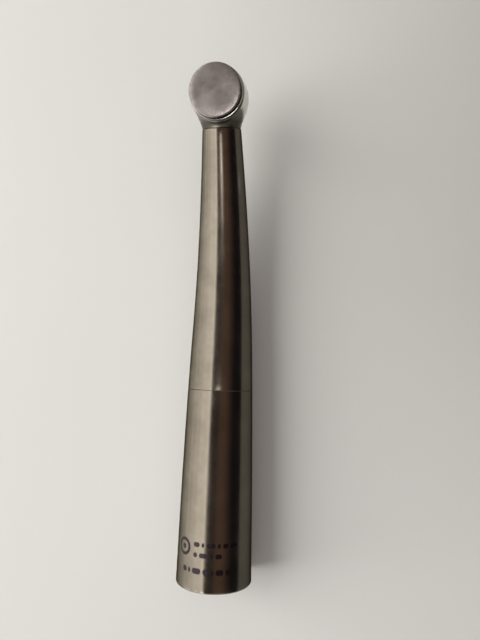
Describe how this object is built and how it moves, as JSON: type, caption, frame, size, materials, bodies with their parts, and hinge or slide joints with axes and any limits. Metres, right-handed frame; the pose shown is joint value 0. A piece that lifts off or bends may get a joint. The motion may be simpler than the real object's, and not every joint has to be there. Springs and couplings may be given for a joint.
{
  "type": "high speed dental handpiece",
  "caption": "Slim bent air-turbine dental handpiece: a push-button head on a tapered neck and grip, open at the rear for its coupling.",
  "frame": {"origin": "centre of the rear face, on the axis of the socket that the hose coupling plugs into", "axes": "+Y runs up the handle towards the head, +Z is the side of the push button, X = 0 is the plane of symmetry"},
  "size_m": [0.0166, 0.1109, 0.0271],
  "materials": {
    "satin_metal": "fine bead-blasted satin",
    "head_metal": "fine bead-blasted satin",
    "button_metal": "lathe-turned satin",
    "polished_steel": "polished",
    "spring_steel": "bright drawn",
    "brass": "turned",
    "rubber": "matt",
    "cage_plastic": "brown resin-bonded fibre",
    "ceramic": "polished ceramic",
    "glass": "clear"
  },
  "bodies": {
    "handpiece": {"rear_sleeve": "satin_metal", "neck_sleeve": "satin_metal", "head_housing": "head_metal", "nozzle_ring": "polished_steel", "back_cap": "polished_steel", "button_retainer": "spring_steel", "button_spring": "spring_steel", "front_outer_race": "polished_steel", "rear_outer_race": "polished_steel", "front_shield": "spring_steel", "rear_shield": "spring_steel", "front_o_ring": "rubber", "rear_o_ring": "rubber", "preload_washer": "spring_steel", "coupling_body": "polished_steel", "detent_ring": "spring_steel", "manifold_block": "brass", "manifold_gasket": "rubber", "non_return_valve": "rubber", "joint_ring": "polished_steel", "joint_o_ring": "rubber", "index_pin": "polished_steel", "drive_air_tube": "spring_steel", "spray_water_tube": "spring_steel", "spray_air_tube": "spring_steel", "light_rod": "glass", "light_lens": "glass"},
    "button": {"push_button": "button_metal"},
    "rotor": {"rotor_shaft": "polished_steel", "impeller": "polished_steel", "front_inner_race": "polished_steel", "rear_inner_race": "polished_steel", "chuck_spring": "spring_steel"},
    "front_ball_set": {"front_cage": "cage_plastic", "front_ball_1": "ceramic", "front_ball_2": "ceramic", "front_ball_3": "ceramic", "front_ball_4": "ceramic", "front_ball_5": "ceramic", "front_ball_6": "ceramic", "front_ball_7": "ceramic"},
    "rear_ball_set": {"rear_cage": "cage_plastic", "rear_ball_1": "ceramic", "rear_ball_2": "ceramic", "rear_ball_3": "ceramic", "rear_ball_4": "ceramic", "rear_ball_5": "ceramic", "rear_ball_6": "ceramic", "rear_ball_7": "ceramic"},
    "chuck": {"chuck_collet": "spring_steel", "chuck_plunger": "spring_steel"}
  },
  "joints": [
    {"name": "button_press", "type": "slide", "parent": "handpiece", "child": "button", "axis": [0, 0.2079, -0.9781], "range_m": [0, 0.0007], "stiffness_N_per_m": 4000, "deforming": ["button_spring"]},
    {"name": "rotor_spin", "type": "hinge", "parent": "handpiece", "child": "rotor", "pos_m": [0, 0.10479, 0.01092], "axis": [0, -0.2079, 0.9781], "continuous": true},
    {"name": "front_cage_spin", "type": "hinge", "parent": "handpiece", "child": "front_ball_set", "pos_m": [0, 0.1055, 0.00758], "axis": [0, -0.2079, 0.9781], "continuous": true},
    {"name": "rear_cage_spin", "type": "hinge", "parent": "handpiece", "child": "rear_ball_set", "pos_m": [0, 0.10428, 0.01331], "axis": [0, -0.2079, 0.9781], "continuous": true},
    {"name": "chuck_release", "type": "slide", "parent": "rotor", "child": "chuck", "axis": [0, 0.2079, -0.9781], "range_m": [0, 0.00047], "deforming": ["chuck_spring"]}
  ],
  "couplings": [
    {"joint": "front_cage_spin", "follows": "rotor_spin", "ratio": 0.399},
    {"joint": "rear_cage_spin", "follows": "rotor_spin", "ratio": 0.399},
    {"joint": "chuck_release", "follows": "button_press", "ratio": 0.66}
  ]
}
